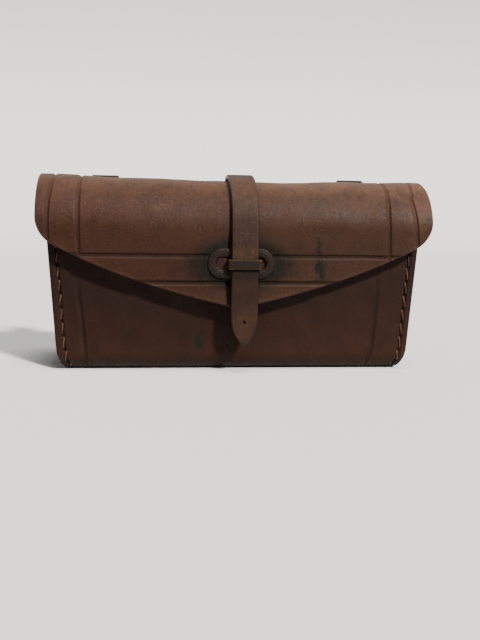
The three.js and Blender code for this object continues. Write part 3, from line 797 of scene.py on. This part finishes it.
def settle(obj):
    """Make what an object's modifiers give its plain mesh."""
    made = bpy.data.meshes.new_from_object(obj.evaluated_get(bpy.context.evaluated_depsgraph_get()))
    obj.modifiers.clear()
    obj.data = made


def seam(side):
    a = seam_places(front_line, 0, 200, side)
    b = seam_places(back_line, SEAM_START + STITCH_PITCH / 2 - 1.75, 86, side)
    mesh = bpy.data.meshes.new("seam_points")
    mesh.from_pydata(to_frame(a[0] + b[0]).tolist(), [], [])
    layer = mesh.attributes.new("turn", "FLOAT_VECTOR", "POINT")
    layer.data.foreach_set("vector", np.array(a[1] + b[1], np.float32).ravel())
    name = "left_end_stitches" if side < 0 else "right_end_stitches"
    row = bpy.data.objects.new(name, mesh)
    bpy.context.scene.collection.objects.link(row)
    setup = row.modifiers.new("stitches", "NODES")
    setup.node_group = STITCH_ROW
    setup[STITCH_IDS["Stitch"]] = STITCH
    setup[STITCH_IDS["Thread"]] = THREAD
    setup[STITCH_IDS["Tightness"]] = 1.0
    bpy.context.view_layer.update()
    settle(row)
    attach(row, "root")
    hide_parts("left_end_thread" if side < 0 else "right_end_thread")


for side in (-1, 1):
    seam(side)

# ---- Strap and hanger loops -----------------------------------------------------------------------
# Narrow strips with rounded edges: the closing strap is riveted to the back, lies over the crest
# and hangs through the staple; each hanger loop is folded into a round eye behind the crest.


def ribbon(name, line, across, half, thick, materials, masks=None, corner=0.75, flip=1):
    """A strip swept along a line of x, y, z, with its own half width and thickness at each point."""
    line = np.asarray(line, float)
    along = np.gradient(line, axis=0)
    along /= np.linalg.norm(along, axis=1)[:, None]
    across = np.asarray(across, float)
    out = flip * np.cross(along, across[None, :])
    out /= np.linalg.norm(out, axis=1)[:, None]
    flat = np.linspace(-1, 1, 13)
    round_by = np.radians(np.linspace(0, 90, 5))[1:-1]
    section = [(u, 0, 1, 1) for u in flat]
    section += [(1, math.sin(a), 1, math.cos(a)) for a in round_by]
    section += [(1, 1, v, 0) for v in (1, 0, -1)]
    section += [(1, math.cos(a), -1, -math.sin(a)) for a in round_by]
    section += [(u, 0, -1, -1) for u in flat[::-1]]
    section += [(-1, -math.sin(a), -1, -math.cos(a)) for a in round_by]
    section += [(-1, -1, v, 0) for v in (-1, 0, 1)]
    section += [(-1, -math.cos(a), 1, math.sin(a)) for a in round_by]
    section = np.array(section)
    count = len(section)
    half = np.broadcast_to(half, len(line)).astype(float)
    thick = np.broadcast_to(thick, len(line)).astype(float)
    round_to = np.minimum(corner, np.minimum(half, thick / 2) * 0.98)
    wide = section[None, :, 0] * (half - round_to)[:, None] + section[None, :, 1] * round_to[:, None]
    deep = section[None, :, 2] * (thick / 2 - round_to)[:, None] + section[None, :, 3] * round_to[:, None]
    points = line[:, None, :] + wide[..., None] * across + deep[..., None] * out[:, None, :]
    a = quads(len(line), count)
    a = a.tolist()
    for k in range(len(line) - 1):
        a.append([k * count + count - 1, (k + 1) * count + count - 1, (k + 1) * count, k * count])
    a += [list(range(count))[::-1], [(len(line) - 1) * count + m for m in range(count)]]
    share = np.abs(section[:, 0]) * (np.abs(section[:, 1]) > 0.1)
    full = {"rim": np.tile(np.minimum(share, 1) * 0.8, len(line))}
    for key in ("hue", "wear_and_sheen", "dirt_and_shade", "green"):
        values = (masks or {}).get(key, 0.2)
        full[key] = np.repeat(np.broadcast_to(values, len(line)), count)
    return build(name, points.reshape(-1, 3), a, materials, full)


STRAP_X, STRAP_HALF, STRAP_THICK = 3.2, 7.5, 2.5
STRAP_FOOT, STRAP_TIP = 60.0, 16.5
TIP_SHAPE = ((0, 0.7, 1.5, 2.6, 5.3, 8.6, 12, 15), (0.5, 1.7, 2.5, 3.4, 5.1, 6.4, 7.1, 7.5))
STRAP_FRONT = -54.9 - STRAP_THICK / 2
OVER = GAP + STRAP_THICK / 2
front_roll = bend(CREST_Y, HANG, CREST_Y - FLAP_FRONT + OVER, CREST - HANG + OVER, 90, 166)
strap_line = Line(
    straight(OVER, STRAP_FOOT, OVER, BACK_TOP),
    bend(CREST_Y, BACK_TOP, -CREST_Y + OVER, CREST - BACK_TOP + OVER, 0, 90),
    front_roll,
    straight(*front_roll[-1], STRAP_FRONT, 71),
    straight(STRAP_FRONT, 70, STRAP_FRONT, STRAP_TIP),
)
crest_s = strap_line.s[np.argmax(strap_line.points[:, 1] <= CREST_Y)]
split_s = crest_s + 5.5


def smoothed(s, width=3.0):
    """Points of the strap's line, with its turns eased as stiff leather would."""
    total = 0
    for k in np.linspace(-1, 1, 7):
        y, z, *_ = strap_line.at(np.clip(s + k * width, 0, strap_line.length))
        total = total + np.column_stack([0 * y + STRAP_X, y, z])
    return total / 7


def strap_piece(name, start, stop, foot=False, tip=False):
    s = np.linspace(start, stop, int((stop - start) / 0.8))
    line = smoothed(s)
    half = np.full(len(s), STRAP_HALF) + 0.12 * ripple(s, 0 * s, 40, 31)
    thick = np.full(len(s), STRAP_THICK)
    if foot:
        near_end = np.clip((s - start) / 7.5, 0, 1)
        half *= 0.25 + 0.75 * np.sqrt(1 - (1 - near_end) ** 2)
        thick *= 0.35 + 0.65 * ease(0, 0.12, near_end)
        line[:, 2] = np.maximum(line[:, 2], STRAP_FOOT)
    if tip:
        from_tip = stop - s
        half *= np.interp(from_tip, TIP_SHAPE[0], TIP_SHAPE[1]) / STRAP_HALF
        thick *= 0.4 + 0.6 * ease(0, 1.2, from_tip)
        last = stop - s < 6
        line[last, 2] = STRAP_TIP + (stop - s)[last]
    z = line[:, 2]
    on_front = line[:, 1] < -30
    masks = {
        "hue": 0.55 + 0 * s,
        # wear mask: lighter where the strap curves over the crest, partly rubbed and partly a painted sheen;
        # rubbed above the staple and near the tip
        "wear_and_sheen": 0.3 + 0.55 * near(z, 104, 12) * on_front + 0.6 * near(z, 66, 4) * on_front
        + 0.2 * near(z, 24, 8),
        # dirt mask: a painted shadow of the staple's bar just below it; darker again a little lower
        "dirt_and_shade": 0.15 + 0.55 * near(z, 56, 5) * on_front + 0.35 * near(z, 44, 6) * on_front,
        "green": 0.15 + 0.5 * near(z, 60, 5) * on_front,
    }
    return ribbon(name, line, (1, 0, 0), half, thick, [STRAP_LEATHER], masks, flip=-1)


over = strap_piece("strap_over_crest", 0, split_s, foot=True)
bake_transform(over)
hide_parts("strap_root")
tail = strap_piece("strap_front", split_s, strap_line.length, tip=True)


def punched(obj, x, y, z, radius):
    """A round hole through the strap."""
    turned = (math.pi / 2, 0, 0)
    bpy.ops.mesh.primitive_cylinder_add(vertices=32, radius=radius * MM, depth=12 * MM, rotation=turned)
    tool = bpy.context.active_object
    tool.data.transform(tool.matrix_basis)
    tool.matrix_basis = Matrix.Identity(4)
    tool.data.transform(Matrix.Translation(Vector((x, y + BACK, z)) * MM))
    step = obj.modifiers.new("punch", "BOOLEAN")
    step.object, step.operation, step.solver = tool, "DIFFERENCE", "EXACT"
    bpy.context.view_layer.update()
    settle(obj)
    bpy.data.objects.remove(tool)


punched(tail, STRAP_X, STRAP_FRONT, STRAP_TIP + 13, 1.0)
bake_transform(tail)
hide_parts("strap_over", "strap_tail")

LOOP_THICK, LOOP_HALF, LOOP_X = 2.2, 8.0, 75.0
EYE_R = 4 + LOOP_THICK / 2
EYE_Y, EYE_Z = GAP + 4 + LOOP_THICK, 109.6 - 4 - LOOP_THICK
INNER, OUTER = GAP + LOOP_THICK / 2, 2 * GAP + LOOP_THICK * 1.5
loop_line = Line(
    straight(INNER, 66.4, INNER, 90),
    bend(EYE_Y, EYE_Z, EYE_R, EYE_R, 180, 0),
    straight(OUTER + 1.2, 91, OUTER, 88),
    straight(OUTER, 87, OUTER, 66.4),
)
for side in (-1, 1):
    s = np.linspace(0, loop_line.length, 110)
    y, z, *_ = loop_line.at(s)
    ends = np.minimum(s, loop_line.length - s)
    half = LOOP_HALF + 0.15 * ripple(s, 0 * s, 30, 41 + side)
    line = np.column_stack([0 * y + side * LOOP_X, y, z])
    masks = {"hue": 0.3, "wear_and_sheen": 0.25 + 0.4 * near(z, 104, 4), "dirt_and_shade": 0.25, "green": 0.1}
    thick = LOOP_THICK * (0.55 + 0.45 * ease(0, 1.2, ends))
    name = "left_hanger_loop" if side < 0 else "right_hanger_loop"
    loop = ribbon(name, line, (1, 0, 0), half, thick, [LOOP_LEATHER], masks, flip=-1)
    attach(loop, "root")
    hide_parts("left_mount_loop" if side < 0 else "right_mount_loop")

# ---- Metalwork ------------------------------------------------------------------------------------
# An oblong eyelet set in the flap with a washer behind it, a flat staple standing through it from
# the front of the bag, and copper rivets: dark with tarnish, green in corners, bright where rubbed.


def old_metal(name, dark, base, bright, green, level):
    made, n, shader = material(name)
    place = n.place()
    blotch, fleck = n.noise(place, 190, 5, 0.65, 0.6), n.noise(place, 900, 4, 0.65)
    tone = n.mix(n.span(blotch, 0.38, 0.62), linear(*dark), linear(*base))
    tone = n.mix(n.times(n.span(fleck, 0.5, 0.68), 0.6), tone, linear(*dark))
    rubbed_and_sheen = n.times(n.attribute("wear_and_sheen"), n.span(fleck, 0.32, 0.56), True)
    tone = n.mix(rubbed_and_sheen, tone, linear(*bright))
    crust = n.times(n.attribute("green"), n.span(n.noise(place, 420, 5, 0.7, 1.0), 0.42, 0.6), True)
    tone = n.mix(crust, tone, linear(*green))
    n.feed(shader.inputs["Base Color"], tone)
    metallic = n.math("SUBTRACT", level, n.times(crust, 0.8), True)
    n.feed(shader.inputs["Metallic"], n.plus(metallic, n.times(rubbed_and_sheen, 0.4), True))
    shader.inputs["Specular IOR Level"].default_value = 0.2
    rough = n.span(fleck, 0.3, 0.7, 0.42, 0.66)
    rough = n.math("SUBTRACT", rough, n.times(rubbed_and_sheen, 0.22))
    n.feed(shader.inputs["Roughness"], n.plus(rough, n.times(crust, 0.3), True))
    pits = n.times(n.span(n.cells(place, 1300), 0.12, 0.4), 0.5)
    n.relief(shader, n.plus(n.plus(fleck, blotch), pits), 0.3)
    return made


RING_METAL = old_metal("eyelet_metal", (6, 3, 2), (20, 10, 5), (54, 32, 17), (16, 19, 12), 0.05)
STAPLE_METAL = old_metal("staple_metal", (6, 3, 2), (16, 9, 5), (120, 80, 40), (15, 17, 10), 0.1)
RIVET_METAL = old_metal("rivet_metal", (50, 30, 20), (118, 72, 48), (188, 128, 92), (58, 84, 70), 0.85)


def oblong(length, height, grow, count):
    """Points round an oblong with round ends, and their outward directions, in X and Z."""
    radius = height / 2 + grow
    reach = (length - height) / 2
    turn = np.linspace(0, 2 * math.pi, count, endpoint=False)
    out = np.column_stack([np.cos(turn), np.sin(turn)])
    slide = np.sign(out[:, 0]) * np.minimum(1, np.abs(out[:, 0]) * 30) * reach
    return out * radius + np.column_stack([slide, 0 * turn])


SLOT_LONG, SLOT_HIGH = 27.05, 6.6


def set_ring(name, profile, metal, body, nodes, seed, rough=0.1):
    """A ring round the slot, swept from a closed profile of distance from the slot and y."""
    count = 160
    points, wear_and_sheen, green = [], [], []
    for k, (grow, y, rub_and_sheen) in enumerate(profile):
        ring = oblong(SLOT_LONG, SLOT_HIGH, grow, count)
        pit = rough * ripple(ring[:, 0], ring[:, 1] + 2 * grow, 5.5, seed)
        points.append(np.column_stack([1.4 + ring[:, 0], y + pit, 61.5 + ring[:, 1]]))
        wear_and_sheen.append(np.full(count, rub_and_sheen))
        green.append(0.35 + 0.55 * near(grow, 5.2, 1.2) + 0 * ring[:, 0])
    faces = []
    for k in range(len(profile)):
        a = k * count + np.arange(count)
        b = (k + 1) % len(profile) * count + np.arange(count)
        faces += band(a, b)
    masks = {"wear_and_sheen": np.concatenate(wear_and_sheen), "green": np.concatenate(green)}
    piece = build(name, np.vstack(points), faces, [metal], masks)
    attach(piece, body)
    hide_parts(nodes)


FACE = FLAP_FRONT - GAP
TOP = FACE - 1.3
RING_WIDE, RING_CROWN = 5.2, 1.1
half_ring = RING_WIDE / 2
round_off = [
    (g, TOP + RING_CROWN * (1 - math.sqrt(1 - ((g - half_ring) / half_ring) ** 2 * 0.98)))
    for g in np.linspace(0, RING_WIDE, 15)
]
crown = [(g, y, 0.35 + 0.4 * float(near(g, 0.3, 0.6)) + 0.3 * float(near(g, 4.6, 0.5))) for g, y in round_off]
SLEEVE = FLAP_FRONT + 4.4  # the ring's sleeve ends here, behind the flap
crown += [(RING_WIDE, FACE + 0.25, 0.1), (4.0, FACE + 0.2, 0), (0.8, FACE + 0.2, 0)]
crown += [(0.8, SLEEVE, 0), (0.0, SLEEVE, 0), (0.0, FACE + 1, 0)]
set_ring("eyelet_ring", crown, RING_METAL, "flap", "flap_eyelet", 51)
rear = FLAP_FRONT + HIDE + GAP
washer = [(1.1, rear, 0), (1.1, rear + 0.6, 0), (1.4, rear + 0.8, 0.4), (3.2, rear + 0.8, 0.1)]
washer += [(4.9, rear + 0.75, 0.3), (RING_WIDE, rear + 0.5, 0.4), (RING_WIDE, rear, 0)]
set_ring("eyelet_washer", washer, RING_METAL, "flap", "flap_eyelet_washer", 52, 0.04)

BAR_Z, BAR_HIGH, BAR_THICK = 61.2, 5.4, 1.2
leg_x = STRAP_HALF + 0.8 + BAR_THICK / 2
bar_y = -57.4 - GAP - BAR_THICK / 2
foot_y = -DEPTH + HIDE + GAP + 1.2 + GAP + BAR_THICK / 2
turn_r = 1.3
corner = [
    (-leg_x + turn_r - turn_r * math.cos(a), bar_y + turn_r - turn_r * math.sin(a))
    for a in np.radians(np.linspace(0, 90, 7))
]
half_path = [(-leg_x - out, foot_y) for out in (5.6, 3, 0.8)]
half_path += [(-leg_x - 0.2, foot_y - 0.25), (-leg_x, foot_y - 0.9)]
half_path += [(-leg_x, y) for y in np.linspace(foot_y - 2, bar_y + turn_r + 0.4, 9)] + corner
half_path += [(x, bar_y - 0.1 * math.cos(x / leg_x * 1.3)) for x in np.linspace(-leg_x + turn_r + 0.5, -0.6, 9)]
path = half_path + [(-x, y) for x, y in half_path[::-1]]
line = np.array([(STRAP_X + x, y, BAR_Z) for x, y in path])
rub_and_sheen = np.where(line[:, 1] < bar_y + 1.2, 0.25 + 0.75 * near(np.abs(line[:, 0] - STRAP_X), leg_x, 1.2), 0.1)
masks = {"wear_and_sheen": rub_and_sheen, "green": 0.35}
staple = ribbon("closing_staple", line, (0, 0, 1), BAR_HIGH / 2, BAR_THICK, [STAPLE_METAL], masks, corner=0.42)
wear_layer = staple.data.attributes["wear_and_sheen"].data
bulk = np.array([v.co.z for v in staple.data.vertices]) / MM - BAR_Z
values = np.empty(len(bulk), np.float32)
wear_layer.foreach_get("value", values)
wear_layer.foreach_set("value", (values * (0.2 + 1.1 * ease(2.0, 2.6, np.abs(bulk)))).astype(np.float32))
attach(staple, "root")
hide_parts("closure_staple")


def rivet_head(name, x, y, z):
    """A hammered copper dome, a little flattened and uneven."""
    around = 40
    dome = [(0.0, 1.6), (0.9, 1.56), (1.8, 1.42), (2.7, 1.12), (3.4, 0.74), (3.85, 0.34), (4.0, 0.05)]
    shank = [(3.9, -0.1), (1.4, -0.1), (1.4, -9.0), (2.1, -9.2), (1.6, -9.7), (0, -9.8)]
    profile = dome + shank
    points, faces, wear_and_sheen = [], [], []
    for radius, up in profile:
        for m in range(around):
            a = 2 * math.pi * m / around
            px, pz = radius * math.cos(a), radius * math.sin(a)
            dent = 0.1 * float(ripple(np.array(px), np.array(pz), 3.4, int(z))) if up > 0 else 0
            points.append((x + px, y + up + dent, z + pz))
            wear_and_sheen.append(0.6 if up > 1 else 0.15)
    for k in range(len(profile) - 1):
        for m in range(around):
            a, b = k * around + m, k * around + (m + 1) % around
            faces.append((a, b, b + around, a + around))
    piece = build(name, points, faces, [RIVET_METAL], {"wear_and_sheen": wear_and_sheen, "green": np.full(len(points), 0.35)})
    merged = bmesh.new()
    merged.from_mesh(piece.data)
    bmesh.ops.remove_doubles(merged, verts=merged.verts, dist=1e-6)
    bmesh.ops.recalc_face_normals(merged, faces=merged.faces)
    merged.to_mesh(piece.data)
    merged.free()
    return piece


strap_out, loop_out = 2 * GAP + STRAP_THICK, 2 * GAP + 2 * LOOP_THICK + GAP
RIVETS = [("strap", STRAP_X, strap_out, (68, 81))]
RIVETS += [("left_loop", -LOOP_X, loop_out, (72, 83)), ("right_loop", LOOP_X, loop_out, (72, 83))]
for owner, x, y, heights in RIVETS:
    for place, z in zip(("lower", "upper"), heights):
        head = rivet_head(f"{owner}_rivet_{place}_copper", x, y, z)
        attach(head, "root")
        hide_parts(f"{owner}_rivet_{place}")
        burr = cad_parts[f"{owner}_burr_{place}"]
        burr.data.materials.clear()
        burr.data.materials.append(RIVET_METAL)
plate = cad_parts["staple_backing_plate"]
plate.data.materials.clear()
plate.data.materials.append(STAPLE_METAL)

# ---- Floor, light and camera ----------------------------------------------------------------------
# A pale plain floor that rises in a curve at the back, a soft light from the upper right and a
# wider one from above. The camera stands a little left of the middle and looks slightly down.


def pale_floor():
    made, n, shader = material("pale_floor")
    shader.inputs["Base Color"].default_value = (0.93, 0.93, 0.92, 1)
    shader.inputs["Roughness"].default_value = 0.85
    return made


# floor and backdrop in one sheet, rising in a wide curve behind the bag
FLOOR_REACH, CURVE_START, CURVE_R, WALL_TOP = 30.0, 0.9, 0.6, 12.0
sweep = [(-FLOOR_REACH, 0.0), (CURVE_START, 0.0)]
for a in np.radians(np.arange(10, 91, 10)):
    sweep.append((CURVE_START + CURVE_R * math.sin(a), CURVE_R - CURVE_R * math.cos(a)))
sweep.append((CURVE_START + CURVE_R, WALL_TOP))
floor_mesh = bpy.data.meshes.new("floor")
floor_points = [(x, y, z) for y, z in sweep for x in (-FLOOR_REACH, FLOOR_REACH)]
floor_faces = [(2 * k, 2 * k + 1, 2 * k + 3, 2 * k + 2) for k in range(len(sweep) - 1)]
floor_mesh.from_pydata(floor_points, [], floor_faces)
floor_mesh.polygons.foreach_set("use_smooth", [True] * (len(sweep) - 1))
floor_mesh.materials.append(pale_floor())
floor = bpy.data.objects.new("floor", floor_mesh)
bpy.context.scene.collection.objects.link(floor)
floor.visible_diffuse = False  # its bounce would wash out the shadow under the flap


def sun(name, place, power, soft, colour):
    lamp = bpy.data.lights.new(name, "SUN")
    lamp.energy, lamp.angle, lamp.color = power, math.radians(soft), colour
    obj = bpy.data.objects.new(name, lamp)
    bpy.context.scene.collection.objects.link(obj)
    obj.matrix_world = Vector(place).to_track_quat("Z", "Y").to_matrix().to_4x4()


sun("key", (0.62, -0.95, 0.95), 5.6, 6, (1.0, 0.97, 0.93))
sun("top", (0.1, -0.25, 1.0), 1.8, 20, (1.0, 0.98, 0.96))
world = bpy.data.worlds.new("studio")
world.use_nodes = True
world.node_tree.nodes["Background"].inputs["Color"].default_value = (0.95, 0.97, 1.0, 1)
world.node_tree.nodes["Background"].inputs["Strength"].default_value = 0.16
bpy.context.scene.world = world

AZIMUTH, ELEVATION, ROLL = (math.radians(v) for v in (-6.595, 8.093, 1.082))
DISTANCE, TARGET = 0.4729, Vector((0.00283, -0.0169, 0.02828))
level = math.cos(ELEVATION)
away = Vector((math.sin(AZIMUTH) * level, -math.cos(AZIMUTH) * level, math.sin(ELEVATION)))
right = Vector((math.cos(AZIMUTH), math.sin(AZIMUTH), 0))
up = right.cross(-away)
right, up = right * math.cos(ROLL) + up * math.sin(ROLL), up * math.cos(ROLL) - right * math.sin(ROLL)
camera = bpy.data.objects.new("camera", bpy.data.cameras.new("camera"))
camera.data.lens = 46.53
camera.data.sensor_width = 36
turned = Matrix((right, up, away)).transposed().to_4x4()
camera.matrix_world = Matrix.Translation(TARGET + away * DISTANCE) @ turned
bpy.context.scene.collection.objects.link(camera)
bpy.context.scene.camera = camera
